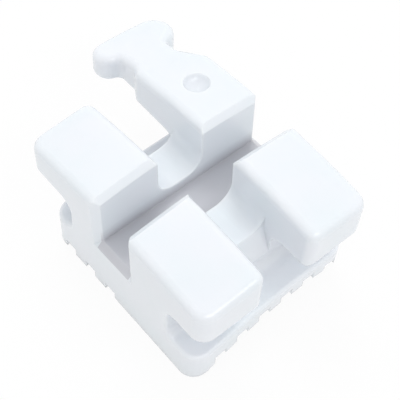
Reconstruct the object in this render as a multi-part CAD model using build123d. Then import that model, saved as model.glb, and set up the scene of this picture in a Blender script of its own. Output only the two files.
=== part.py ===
from build123d import *
import math
import os

# Orthodontic bracket moulded in one piece of ceramic: a bonding base with notched edges, a waist with a
# ligature undercut on each side, four tie wings round an archwire slot, and a hook on one wing.
# +X runs along the archwire, +Y across it towards the hook, +Z away from the tooth. The origin lies under the
# middle of the slot, level with the lowest edge of the bonding base. Sizes are in millimetres.

# Bonding base
bracket_width = 2.60            # along the archwire
base_front = 1.54               # middle of the slot to the -Y edge
base_back = 1.28                # middle of the slot to the +Y edge
base_skew = 0.075               # how much further out the -Y edge lies at its -X end than at its +X end
base_front_hollow = 0.05        # inward bow of the -Y edge, seen from above
base_corner_radius = 0.24
base_arch_radius = 6.0          # hollow of the underside about Y, to suit a tooth
base_arch_offset = 0.45         # crest of the hollow from the middle, so that the -X side stands deeper
flange_thickness = 0.55         # lowest edge up to the floor of the undercuts
tooth_pitch_x = 0.375           # of the teeth along the lower edges
tooth_pitch_y = 0.41
tooth_shift_x = -0.085          # one notch's place from the middle of the slot
tooth_shift_y = 0.08
notch_width = 0.19              # between two teeth
notch_height = 0.125
notch_depth = 0.11              # at the underside, sloping out to nothing at the top
notch_edge_land = 0.04          # least wall left between a notch and the corner beside it
plain_edge_length = 1.25        # stretch of the -X edge, from the -Y corner, that has no notches
groove_depth = 0.04             # retention grooves that cross the underside, in line with the notches
groove_margin = 0.16            # plain margin round the grooves

# Waist and wings
neck_front = 1.02               # middle of the slot to the waist's -Y wall
neck_back = 0.85                # middle of the slot to the waist's +Y wall
undercut_height = 0.61          # room for a ligature
undercut_root_radius = 0.18
wing_span = 3.30                # wing tip to wing tip across the slot
wing_gap = 0.70                 # between the left and right wings
wing_thickness = 0.72           # underside to crown, in the middle
wing_corner_radius = 0.20       # outer corners of the tips, seen from above
wing_inner_radius = 0.13        # tip corners at the gap, seen from above
wing_edge_radius = 0.11         # rounding of the top edges
rim_radius = 0.05               # rounding round the mouth of each undercut
crown_radius = 10.0             # domed top

# Archwire slot
slot_width = 0.56               # 0.022 inch, the common slot for full size wires
slot_depth = 0.92               # crown to floor, in the middle
slot_torque = 2.2               # degrees, the slot and the crown leaning towards +Y
slot_mouth_chamfer = 0.09
slot_end_flare = 0.09           # lead-in at both ends, cut into the walls and the floor
slot_end_flare_length = 0.09    # along the slot
saddle_rise = 0.17              # web between the wings above the slot floor
saddle_radius = 0.26            # rounded corners of the web's hollow
saddle_slope_run = 0.15         # the web's -Y end slopes down and out into the waist
saddle_slope_drop = 0.40

# Hook on the +X +Y wing
hook_reach = 0.81               # past the wing tip
hook_inner_shoulder = 0.07      # step from the gap wall to the hook's neck
hook_inner_shoulder_start = 0.04    # before the wing tip
hook_inner_shoulder_end = 0.08      # past the wing tip
hook_outer_shoulder = 0.23      # step from the bracket's side to the hook's neck
hook_outer_shoulder_start = 0.34    # before the wing tip
hook_inner_overhang = 0.23      # head past the neck, on the gap side
hook_outer_overhang = 0.30
hook_inner_lobe_radius = 0.21
hook_outer_lobe_radius = 0.28
hook_blend_radius = 0.11

# Marking dimple on the hook's wing
dimple_radius = 0.185
dimple_depth = 0.125
dimple_from_slot = 0.95         # from the slot's middle line

# Limits of the roundings
fullest_round = 0.45            # largest rounding, as a share of the width it rounds
turn_share = 0.85               # largest rounding, as a share of the corner it turns

# Places worked out from the sizes
half_width = bracket_width / 2
tip_y = wing_span / 2
gap_half = wing_gap / 2
slot_half = slot_width / 2
arch_axis_z = -math.sqrt(base_arch_radius**2 - (half_width + base_arch_offset)**2)
waist_level = flange_thickness + undercut_height / 2
wing_underside = flange_thickness + undercut_height
front_ledge = base_front - base_front_hollow - base_skew / 2 - neck_front
base_ledge = min(front_ledge, base_back - neck_back)
corner_radius = min(base_corner_radius, turn_share * base_ledge)
root_room = min(fullest_round * undercut_height, turn_share * (base_ledge - rim_radius))
root_radius = min(undercut_root_radius, root_room)
slot_floor = wing_underside + wing_thickness - slot_depth
slot_frame = Location((0, 0, slot_floor), (-slot_torque, 0, 0))
crown_centre = slot_depth - crown_radius
hook_end_y = tip_y + hook_reach
hook_inner_straight = hook_reach - 2 * hook_inner_lobe_radius
hook_inner_blend = min(hook_blend_radius, fullest_round * hook_inner_straight)
hook_outer_straight = hook_reach - 2 * hook_outer_lobe_radius
hook_outer_blend = min(hook_blend_radius, fullest_round * hook_outer_straight)
neck_inner_x = gap_half + hook_inner_shoulder
neck_outer_x = half_width - hook_outer_shoulder
same = 0.001                    # two lengths this close are one
clear = wing_span               # cutters overshoot the body by this much


def above(outline, low, high):
    """The prism over an outline between two levels."""
    return extrude(Pos(0, 0, low) * outline, amount=high - low)


def corners_at(outline, points):
    """The outline's corners nearest to the given points."""
    return [outline.vertices().sort_by_distance(point)[0] for point in points]


def crown_height(x, y):
    """Height of the domed top over a place."""
    ball = (slot_frame * Pos(0, 0, crown_centre)).position
    return ball.Z + math.sqrt(crown_radius**2 - (x - ball.X)**2 - (y - ball.Y)**2)


def base_outline():
    """The base seen from above: straight sides, and a -Y edge that is bowed in and a little askew."""
    front_left = (-half_width, -base_front - base_skew / 2)
    front_right = (half_width, -base_front + base_skew / 2)
    back_right = (half_width, base_back)
    back_left = (-half_width, base_back)
    front = ThreePointArc(front_left, (0, -base_front + base_front_hollow), front_right)
    outline = make_face(front + Polyline(front_right, back_right, back_left, front_left))
    return fillet(outline.vertices(), corner_radius)


def hook_outline():
    """The hook's straight neck, rooted in its wing, and its head of two round lobes with a straight end."""
    inner_lobe_x = neck_inner_x - hook_inner_overhang + hook_inner_lobe_radius
    inner_lobe_y = hook_end_y - hook_inner_lobe_radius
    outer_lobe_x = neck_outer_x + hook_outer_overhang - hook_outer_lobe_radius
    outer_lobe_y = hook_end_y - hook_outer_lobe_radius
    neck = Pos(neck_inner_x, 0) * Rectangle(neck_outer_x - neck_inner_x, inner_lobe_y, align=Align.MIN)
    inner_lobe = Pos(inner_lobe_x, inner_lobe_y) * Circle(hook_inner_lobe_radius)
    outer_lobe = Pos(outer_lobe_x, outer_lobe_y) * Circle(hook_outer_lobe_radius)
    between = Polyline(
        (inner_lobe_x, inner_lobe_y),
        (outer_lobe_x, outer_lobe_y),
        (outer_lobe_x, hook_end_y),
        (inner_lobe_x, hook_end_y),
        close=True,
    )
    return neck + inner_lobe + outer_lobe + make_face(between)


def wing_block_outline():
    """The wings seen from above, with the gap between them still filled in, and the hook."""
    shoulder = (half_width, tip_y - hook_outer_shoulder_start)
    plain_corners = [(-half_width, -tip_y), (half_width, -tip_y), (-half_width, tip_y)]
    edge = Polyline(
        plain_corners[0],
        plain_corners[1],
        shoulder,
        (neck_outer_x, tip_y),
        plain_corners[2],
        close=True,
    )
    block = make_face(edge)
    block = fillet(corners_at(block, plain_corners), wing_corner_radius)
    outline = block + hook_outline()
    inner_corners = [v for v in outline.vertices() if abs(v.X - neck_inner_x) < same]
    outline = fillet(inner_corners, hook_inner_blend)
    outer_corners = [v for v in outline.vertices() if abs(v.X - neck_outer_x) < same]
    outline = fillet(outer_corners, hook_outer_blend)
    return fillet(corners_at(outline, [shoulder]), wing_corner_radius)


def plain_gap_outline():
    """The gap between two plain wings, from the waist outwards, with a rounded mouth."""
    mouth_x = gap_half + 2 * wing_inner_radius
    mouth_y = tip_y + wing_inner_radius
    edge = Polyline(
        (-gap_half, neck_front),
        (gap_half, neck_front),
        (gap_half, tip_y),
        (mouth_x, tip_y),
        (mouth_x, mouth_y),
        (-mouth_x, mouth_y),
        (-mouth_x, tip_y),
        (-gap_half, tip_y),
        close=True,
    )
    outline = make_face(edge)
    return fillet(corners_at(outline, [(-gap_half, tip_y), (gap_half, tip_y)]), wing_inner_radius)


def hook_gap_outline():
    """The gap beside the hook: a plain wing on one side, and on the other a slope up to the hook's neck."""
    mouth_x = gap_half + 2 * wing_inner_radius
    mouth_y = tip_y + min(hook_inner_shoulder_end + hook_inner_blend, hook_inner_straight / 2)
    slope = [
        (gap_half, tip_y - hook_inner_shoulder_start),
        (neck_inner_x, tip_y + hook_inner_shoulder_end),
    ]
    edge = Polyline(
        (-gap_half, neck_back),
        (gap_half, neck_back),
        slope[0],
        slope[1],
        (neck_inner_x, mouth_y),
        (-mouth_x, mouth_y),
        (-mouth_x, tip_y),
        (-gap_half, tip_y),
        close=True,
    )
    outline = make_face(edge)
    outline = fillet(corners_at(outline, [(-gap_half, tip_y)]), wing_inner_radius)
    return fillet(corners_at(outline, slope), wing_inner_radius)


def block_body():
    """Base, waist and wing block, with both undercuts and the domed top."""
    body = above(base_outline(), 0, waist_level) + above(wing_block_outline(), waist_level, clear)
    section = RectangleRounded(2 * clear, undercut_height, root_radius)
    undercut = extrude(Plane.YZ * section, amount=clear, both=True)
    body -= Pos(0, -neck_front - clear, waist_level) * undercut
    body -= Pos(0, neck_back + clear, waist_level) * undercut
    return body & slot_frame * Pos(0, 0, crown_centre) * Rotation(0, 90, 0) * Sphere(crown_radius)


def undercut_rims(body):
    """The edges round the mouths of both undercuts, without the seams of their rounded roots."""
    near = body.edges().filter_by_position(Axis.Z, flange_thickness - same, wing_underside + same)
    seams_y = (-neck_front, -neck_front - root_radius, neck_back, neck_back + root_radius)
    middles = [edge for edge in near if abs(edge.center().X) < same]
    seams = [edge for edge in middles if min(abs(edge.center().Y - y) for y in seams_y) < same]
    return [edge for edge in near if edge not in seams]


def saddle_end():
    """Room past the saddle's -Y end, over the slope that runs from its edge down into the waist's wall."""
    lean = math.radians(slot_torque)
    edge_y = saddle_slope_run - neck_front
    edge_z = slot_floor + saddle_rise / math.cos(lean) - edge_y * math.tan(lean)
    foot_z = edge_z - saddle_slope_drop
    outer_y = -neck_front - root_radius
    edge = Polyline(
        (edge_y, edge_z),
        (-neck_front, foot_z),
        (outer_y, foot_z),
        (outer_y, clear),
        (edge_y, clear),
        close=True,
    )
    return extrude(Plane.YZ * make_face(edge), amount=gap_half, both=True)


def gap_cutter():
    """The room between the wings: open to the undercuts at both ends, a rounded saddle over the waist."""
    hook_end = above(hook_gap_outline(), waist_level, clear)
    plain_end = mirror(above(plain_gap_outline(), waist_level, clear), about=Plane.XZ)
    hollow_radius = min(saddle_radius, fullest_round * wing_gap)
    hollow = Plane.XZ * Pos(0, saddle_rise + clear) * RectangleRounded(wing_gap, 2 * clear, hollow_radius)
    return hook_end + plain_end + saddle_end() + slot_frame * extrude(hollow, amount=tip_y, both=True)


def round_tops(body):
    """Rounds the edges of the domed tops, within the turn of the tip corners and the wall at the hook's end."""
    tops = body.faces().filter_by(GeomType.SPHERE)
    edges = [edge for top in tops for edge in top.edges()]
    tip_wall = crown_height(neck_outer_x + hook_outer_overhang, hook_end_y) - wing_underside - rim_radius
    room = turn_share * min(wing_inner_radius, tip_wall)
    return fillet(edges, min(wing_edge_radius, room))


def slot_cutter():
    """The archwire slot: straight walls, a chamfered mouth that follows the dome, and flared ends."""
    channel = Box(2 * clear, slot_width, 2 * clear, align=(Align.CENTER, Align.CENTER, Align.MIN))
    mouth_level = slot_depth - slot_mouth_chamfer
    mouth_edge = Polyline(
        (-slot_half, mouth_level),
        (slot_half, mouth_level),
        (slot_half + clear, mouth_level + clear),
        (-slot_half - clear, mouth_level + clear),
        close=True,
    )
    dome_axis = Axis((0, 0, crown_centre), (0, 1, 0))
    turn = math.degrees(clear / crown_radius)
    mouth = revolve(Plane.YZ * make_face(mouth_edge), axis=dome_axis, revolution_arc=2 * turn)
    mouth = mouth.rotate(dome_axis, -turn)
    end_width = slot_width + 2 * slot_end_flare
    end = Plane.YZ * Pos(0, clear - slot_end_flare) * Rectangle(end_width, 2 * clear)
    slant = math.degrees(math.atan(slot_end_flare / slot_end_flare_length))
    flare = extrude(Pos(-half_width, 0, 0) * end, amount=slot_end_flare_length, taper=slant)
    return slot_frame * (channel + mouth + flare + mirror(flare, about=Plane.YZ))


def dimple_cutter():
    """A ball sunk into the dome of the hook's wing, midway between the gap and the side."""
    x = (gap_half + half_width) / 2
    dome_z = crown_centre + math.sqrt(crown_radius**2 - x**2 - dimple_from_slot**2)
    ball_z = dome_z + dimple_radius - dimple_depth
    return slot_frame * Pos(x, dimple_from_slot, ball_z) * Sphere(dimple_radius)


def notch_places(low, high, pitch, shift):
    """Places of the notches between two corners, a pitch apart and clear of both corners."""
    inset = notch_edge_land + notch_width / 2
    first = math.ceil((low + inset - shift) / pitch)
    last = math.floor((high - inset - shift) / pitch)
    return [shift + pitch * i for i in range(first, last + 1)]


def underside(x):
    """Height of the arched underside at a place along the archwire."""
    return arch_axis_z + math.sqrt(base_arch_radius**2 - (x - base_arch_offset)**2)


def front_edge(x):
    """Place across the archwire of the base's -Y edge."""
    bow = base_front_hollow * (1 - (x / half_width)**2)
    return -base_front + bow + base_skew * x / bracket_width


def notch():
    """One notch between two teeth, cut inwards along +X, deepest at the underside."""
    section = Polyline(
        (notch_depth, 0),
        (-notch_depth, 2 * notch_height),
        (-notch_depth, -notch_height),
        (notch_depth, -notch_height),
        close=True,
    )
    return extrude(Plane.XZ * make_face(section), amount=notch_width / 2, both=True)


def base_cutter():
    """The arched hollow under the bonding base, the notches round its edges and the grooves across it."""
    arch_axis = Pos(base_arch_offset, 0, arch_axis_z) * Rotation(90, 0, 0)
    cutter = arch_axis * Cylinder(base_arch_radius, 2 * clear)
    grooves = Part()
    for x in notch_places(-half_width, half_width, tooth_pitch_x, tooth_shift_x):
        low = underside(x)
        cutter += Pos(x, front_edge(x), low) * Rotation(0, 0, 90) * notch()
        cutter += Pos(x, base_back, low) * Rotation(0, 0, -90) * notch()
        grooves += Pos(x, 0, 0) * Box(notch_width, 2 * clear, 2 * flange_thickness)
    for y in notch_places(-base_front, base_back, tooth_pitch_y, tooth_shift_y):
        cutter += Pos(half_width, y, underside(half_width)) * Rotation(0, 0, 180) * notch()
        if y > plain_edge_length - base_front:
            cutter += Pos(-half_width, y, underside(-half_width)) * notch()
        grooves += Pos(0, y, 0) * Box(2 * clear, notch_width, 2 * flange_thickness)
    grooved_width = bracket_width - 2 * groove_margin
    grooved_length = base_front + base_back - 2 * groove_margin
    grooves &= Pos(0, (base_back - base_front) / 2, 0) * Box(grooved_width, grooved_length, 2 * clear)
    grooves &= arch_axis * Cylinder(base_arch_radius + groove_depth, 2 * clear)
    return cutter + grooves


body = block_body()
body = fillet(undercut_rims(body), rim_radius)
body -= gap_cutter()
body = round_tops(body)
body -= slot_cutter()
body -= dimple_cutter()
body -= base_cutter()

os.makedirs("parts", exist_ok=True)
export_step(body, "parts/bracket_body.step")
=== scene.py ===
# %% [markdown]
# # A ceramic orthodontic bracket in a small studio
# The bracket is one piece of fired alumina, about four millimetres long, that is bonded to a tooth and
# holds an archwire. The solid model already has its whole shape: base, waist, four tie wings, slot and hook.
# So this lesson loads that solid as a fixed frame, and spends its time on camera, finish, floor and light.

# %% Load the solid model
import math

import bpy
from mathutils import Matrix, Vector

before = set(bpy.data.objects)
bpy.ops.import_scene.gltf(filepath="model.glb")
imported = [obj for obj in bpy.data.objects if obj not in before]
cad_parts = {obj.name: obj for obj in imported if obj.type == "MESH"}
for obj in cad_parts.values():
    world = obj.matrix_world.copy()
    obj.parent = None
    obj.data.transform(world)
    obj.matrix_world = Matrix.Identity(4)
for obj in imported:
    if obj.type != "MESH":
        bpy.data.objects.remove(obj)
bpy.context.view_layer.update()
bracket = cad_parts["bracket_body"]

# %% [markdown]
# ## The camera
# A part this small is photographed from close by with a long lens, so its edges converge only a little. The
# camera could be placed by eye, but a direction, a distance and a point to look at are easier to reason
# about: azimuth turns round the part, elevation lifts the camera, and roll tips the picture. The clip
# distances have to be small too, because everything here is measured in millimetres.

# %% Camera
millimetre = 0.001
view_azimuth = math.radians(-43.816)
view_elevation = math.radians(57.101)
view_roll = math.radians(4.218)
view_distance = 13.349 * millimetre
look_at = Vector((0.083, -0.008, 0.960)) * millimetre

back = Vector((
    math.sin(view_azimuth) * math.cos(view_elevation),
    -math.cos(view_azimuth) * math.cos(view_elevation),
    math.sin(view_elevation),
))
level_right = Vector((math.cos(view_azimuth), math.sin(view_azimuth), 0))
level_up = back.cross(level_right)
right = level_right * math.cos(view_roll) + level_up * math.sin(view_roll)
up = back.cross(right)
camera_turn = Matrix((right, up, back)).transposed().to_4x4()

camera_data = bpy.data.cameras.new("studio_camera")
camera_data.sensor_width = 36
camera_data.lens = 95.98
camera_data.clip_start = 1 * millimetre
camera_data.clip_end = 1
camera = bpy.data.objects.new("studio_camera", camera_data)
bpy.context.scene.collection.objects.link(camera)
camera.matrix_world = Matrix.Translation(look_at + back * view_distance) @ camera_turn
bpy.context.scene.camera = camera
print("camera at", [round(x / millimetre, 2) for x in camera.matrix_world.translation], "mm")

# %% [markdown]
# ## Two small helpers
# Colours are easiest to pick as sRGB hex values, but shaders add light in linear numbers, so one function
# converts them. A second one adds a shader node, sets its properties and fills or links its inputs, which
# keeps each material short enough to read in one go. The mix node has one pair of inputs for each kind of
# value, all with the same names, so the colour pair is picked by its place.


# %% Helpers
def linear_colour(hex_text):
    """An sRGB hex colour as linear red, green, blue and alpha."""
    shares = [int(hex_text[i:i + 2], 16) / 255 for i in (1, 3, 5)]
    return [s / 12.92 if s <= 0.04045 else ((s + 0.055) / 1.055) ** 2.4 for s in shares] + [1]


def add_node(tree, kind, inputs, **settings):
    """Adds a node, sets its properties, and gives each named input a value or a link."""
    node = tree.nodes.new(kind)
    for name, value in settings.items():
        setattr(node, name, value)
    for name, value in inputs.items():
        if isinstance(value, bpy.types.NodeSocket):
            tree.links.new(value, node.inputs[name])
        else:
            node.inputs[name].default_value = value
    return node


colour_a, colour_b, colour_result = 6, 7, 2
print("mid grey in linear numbers:", [round(x, 3) for x in linear_colour("#808080")])

# %% [markdown]
# ## Fired alumina: the body colour
# The bracket is moulded from alumina powder, fired until it is dense, and tumbled smooth. Its body is a cool
# white that drifts a little from place to place, between a hint of green-blue and a hint of mauve. A soft
# noise about as wide as a wing mixes the two, so that no face is one flat colour.

# %% Body colour
cloud_size = 0.9 * millimetre

fired_alumina = bpy.data.materials.new("fired_alumina")
fired_alumina.use_nodes = True
tree = fired_alumina.node_tree
tree.nodes.clear()
place = add_node(tree, "ShaderNodeTexCoord", {}).outputs["Object"]
clouds = add_node(
    tree, "ShaderNodeTexNoise", {"Vector": place, "Scale": 1 / cloud_size, "Detail": 3, "Roughness": 0.5}
)
body_colour = add_node(
    tree,
    "ShaderNodeMix",
    {
        "Factor": clouds.outputs["Fac"],
        colour_a: linear_colour("#DFE8EC"),
        colour_b: linear_colour("#EAEAF0"),
    },
    data_type="RGBA",
)
print("body colour drifts over", cloud_size / millimetre, "mm")

# %% [markdown]
# ## Fired alumina: painted shade in the slot
# The bottom of the slot is painted greyer than the rest. This is painted shade, for the shade deep in the
# narrow slot. The slot leans a little with the crown, so the place is first turned upright, and the shaded
# stretch is then found by its width and its height. It fades out up the walls, and it stops at the depth of
# the flared ends, so that nothing below is greyed.

# %% Painted shade in the slot
slot_lean = math.radians(2.2)
slot_floor = 0.96 * millimetre
slot_half_width = 0.3 * millimetre
flare_depth = 0.088 * millimetre
slot_shade_full = 0.02 * millimetre
slot_shade_end = 0.22 * millimetre

from_floor = add_node(
    tree, "ShaderNodeVectorMath", {0: place, 1: (0, 0, slot_floor)}, operation="SUBTRACT"
)
upright = add_node(
    tree,
    "ShaderNodeVectorRotate",
    {"Vector": from_floor.outputs["Vector"], "Angle": slot_lean},
    rotation_type="X_AXIS",
)
across = add_node(tree, "ShaderNodeSeparateXYZ", {"Vector": upright.outputs["Vector"]})
off_middle = add_node(tree, "ShaderNodeMath", {0: across.outputs["Y"]}, operation="ABSOLUTE")
in_slot = add_node(
    tree, "ShaderNodeMath", {0: off_middle.outputs["Value"], 1: slot_half_width}, operation="LESS_THAN"
)
low_down = add_node(
    tree,
    "ShaderNodeMapRange",
    {"Value": across.outputs["Z"], "From Min": slot_shade_end, "From Max": slot_shade_full},
)
not_below = add_node(
    tree, "ShaderNodeMath", {0: across.outputs["Z"], 1: -flare_depth}, operation="GREATER_THAN"
)
slot_bottom = add_node(
    tree,
    "ShaderNodeMath",
    {0: low_down.outputs["Result"], 1: not_below.outputs["Value"]},
    operation="MULTIPLY",
)
shaded = add_node(
    tree,
    "ShaderNodeMath",
    {0: in_slot.outputs["Value"], 1: slot_bottom.outputs["Value"]},
    operation="MULTIPLY",
)
# Painted shade: the body colour is mixed towards grey at the bottom of the slot.
slot_shaded_colour = add_node(
    tree,
    "ShaderNodeMix",
    {
        "Factor": shaded.outputs["Value"],
        colour_a: body_colour.outputs[colour_result],
        colour_b: linear_colour("#CACBD1"),
    },
    data_type="RGBA",
)
print("ground slot:", 2 * slot_half_width / millimetre, "mm wide")

# %% [markdown]
# ## Fired alumina: painted edge highlights
# Sharp edges, as round the slot and the saddles, are painted lighter. This is a painted highlight, for the
# bright lines that light draws on them. The ambient occlusion node, turned to the inside, finds these places:
# its short rays soon meet the other face there, and meet nothing in the thick of the body.

# %% Painted edge highlights
edge_reach = 0.05 * millimetre
thick_share = 0.9
thin_share = 0.3
edge_highlight_strength = 0.9

thickness = add_node(
    tree, "ShaderNodeAmbientOcclusion", {"Distance": edge_reach}, inside=True, samples=8
)
thin = add_node(
    tree,
    "ShaderNodeMapRange",
    {
        "Value": thickness.outputs["AO"],
        "From Min": thick_share,
        "From Max": thin_share,
        "To Max": edge_highlight_strength,
    },
)
# Painted highlight: sharp edges are mixed towards a lighter white.
edge_highlight_colour = add_node(
    tree,
    "ShaderNodeMix",
    {
        "Factor": thin.outputs["Result"],
        colour_a: slot_shaded_colour.outputs[colour_result],
        colour_b: linear_colour("#F6FBFF"),
    },
    data_type="RGBA",
)
print("thin edges lighten within", edge_reach / millimetre, "mm")

# %% [markdown]
# ## Fired alumina: the surface
# Tumbling leaves a soft gloss and edges that are rounded by a few hundredths of a millimetre. The grains are
# a few thousandths of a millimetre, far too fine to see, so the grain here is drawn about ten times coarser,
# just enough to break up the gloss. The bevel node rounds what the light sees of the edges and leaves the
# mesh alone. A share of the light goes in and comes out again close by, which softens the shade.

# %% Surface
grain_size = 0.05 * millimetre
grain_height = 0.002 * millimetre
grain_strength = 0.2
smoothest = 0.17
roughest = 0.25
edge_softness = 0.025 * millimetre
alumina_ior = 1.76
light_share = 0.3
light_depth = 0.15 * millimetre

grain = add_node(
    tree, "ShaderNodeTexNoise", {"Vector": place, "Scale": 1 / grain_size, "Detail": 2, "Roughness": 0.6}
)
gloss = add_node(
    tree,
    "ShaderNodeMapRange",
    {"Value": grain.outputs["Fac"], "To Min": smoothest, "To Max": roughest},
)
soft_edges = add_node(tree, "ShaderNodeBevel", {"Radius": edge_softness}, samples=6)
grain_bump = add_node(
    tree,
    "ShaderNodeBump",
    {
        "Strength": grain_strength,
        "Distance": grain_height,
        "Height": grain.outputs["Fac"],
        "Normal": soft_edges.outputs["Normal"],
    },
)
ceramic = add_node(
    tree,
    "ShaderNodeBsdfPrincipled",
    {
        "Base Color": edge_highlight_colour.outputs[colour_result],
        "Roughness": gloss.outputs["Result"],
        "IOR": alumina_ior,
        "Subsurface Weight": light_share,
        "Subsurface Radius": (1, 1, 1),
        "Subsurface Scale": light_depth,
        "Normal": grain_bump.outputs["Normal"],
    },
)
add_node(tree, "ShaderNodeOutputMaterial", {"Surface": ceramic.outputs["BSDF"]})
for material_slot in bracket.material_slots:
    material_slot.material = fired_alumina
print("bracket finish:", [s.material.name for s in bracket.material_slots])

# %% [markdown]
# ## What is plain white
# The card and the tent round a small part are meant to vanish: seen directly, or in a reflection, they are
# plain white. Everything else they do, such as catching a shadow or sending light back, they do as ordinary
# matt surfaces. The light path node tells these two kinds of ray apart, and both shaders below need it.


# %% Rays that see plain white
def seen_directly(tree):
    """One for a ray that shows a surface to the camera, straight or in a reflection, or else zero."""
    rays = add_node(tree, "ShaderNodeLightPath", {})
    straight_or_mirrored = add_node(
        tree,
        "ShaderNodeMath",
        {0: rays.outputs["Is Camera Ray"], 1: rays.outputs["Is Glossy Ray"]},
        operation="MAXIMUM",
    )
    seen = add_node(
        tree,
        "ShaderNodeMath",
        {0: straight_or_mirrored.outputs["Value"], 1: rays.outputs["Is Transmission Ray"]},
        operation="MAXIMUM",
    )
    return seen.outputs["Value"]


plain_white = (1, 1, 1, 1)
print("plain white:", plain_white)

# %% [markdown]
# ## The floor
# Small parts are shot on a sheet of matt white card that runs out of the picture. One flat plane does that
# job. Nearly all that the camera sees of it is plain white, and the rest is matt card, which keeps a faint
# shadow under the bracket and sends white light back from below.

# %% Floor
floor_size = 200 * millimetre
card_whiteness = 0.92

bpy.ops.mesh.primitive_plane_add(size=floor_size)
floor = bpy.context.object
floor.name = "floor"
white_card = bpy.data.materials.new("white_card")
white_card.use_nodes = True
tree = white_card.node_tree
tree.nodes.clear()
share = add_node(
    tree, "ShaderNodeMath", {0: seen_directly(tree), 1: card_whiteness}, operation="MULTIPLY"
)
matt = add_node(tree, "ShaderNodeBsdfDiffuse", {"Color": linear_colour("#F0F0F0")})
plain = add_node(tree, "ShaderNodeEmission", {"Color": plain_white, "Strength": 1})
card = add_node(
    tree,
    "ShaderNodeMixShader",
    {0: share.outputs["Value"], 1: matt.outputs["BSDF"], 2: plain.outputs["Emission"]},
)
add_node(tree, "ShaderNodeOutputMaterial", {"Surface": card.outputs["Shader"]})
floor.data.materials.append(white_card)
print("floor:", floor.name, [round(x / millimetre) for x in floor.dimensions], "mm")

# %% [markdown]
# ## The tent
# White ceramic on white card is lit in a tent: white cloth all round, with soft lamps behind it. The world
# colour stands for the cloth, and gives most of the light, so that no side of the bracket goes dark.

# %% Tent
tent_light = 0.82

light_tent = bpy.data.worlds.new("light_tent")
bpy.context.scene.world = light_tent
light_tent.use_nodes = True
tree = light_tent.node_tree
tree.nodes.clear()
cloth = add_node(tree, "ShaderNodeBackground", {"Color": plain_white, "Strength": tent_light})
plain = add_node(tree, "ShaderNodeBackground", {"Color": plain_white, "Strength": 1})
tent = add_node(
    tree,
    "ShaderNodeMixShader",
    {0: seen_directly(tree), 1: cloth.outputs["Background"], 2: plain.outputs["Background"]},
)
add_node(tree, "ShaderNodeOutputWorld", {"Surface": tent.outputs["Shader"]})
print("tent gives", tent_light, "of full white")

# %% [markdown]
# ## The lamps
# One broad softbox stands above and a little behind the bracket. It brightens the tops, and leaves the slot's
# far wall and floor in shade, which makes the slot easy to read. Mirrored in the crowned tops it would hide
# them under a veil, so it is kept out of reflections, as crossed polarising filters do in a studio. A wide,
# low, weaker one stands in front. It fills the near ends, and its reflection is the bright line on the
# rounded front corners.

# %% Lamps
lamp_distance = 45 * millimetre


def add_softbox(name, direction, width, height, level, reflected):
    """An area lamp that faces the bracket; level is its share of what makes white card look white."""
    lamp = bpy.data.lights.new(name, "AREA")
    lamp.shape = "RECTANGLE"
    lamp.size = width
    lamp.size_y = height
    lamp.energy = level * math.pi**2 * lamp_distance**2
    softbox = bpy.data.objects.new(name, lamp)
    bpy.context.scene.collection.objects.link(softbox)
    softbox.visible_glossy = reflected
    facing = Vector(direction).normalized()
    turn = facing.to_track_quat("Z", "Y").to_matrix().to_4x4()
    softbox.matrix_world = Matrix.Translation(look_at + facing * lamp_distance) @ turn
    print("softbox", name, "gives", level, "of full white from", round(lamp_distance / millimetre), "mm")


add_softbox(
    "overhead_softbox",
    direction=(0.35, 0.6, 1),
    width=22 * millimetre,
    height=22 * millimetre,
    level=0.29,
    reflected=False,
)
add_softbox(
    "front_softbox",
    direction=(-0.04, -0.61, 0.75),
    width=37 * millimetre,
    height=12 * millimetre,
    level=0.18,
    reflected=True,
)

bpy.context.scene.view_settings.view_transform = "Standard"
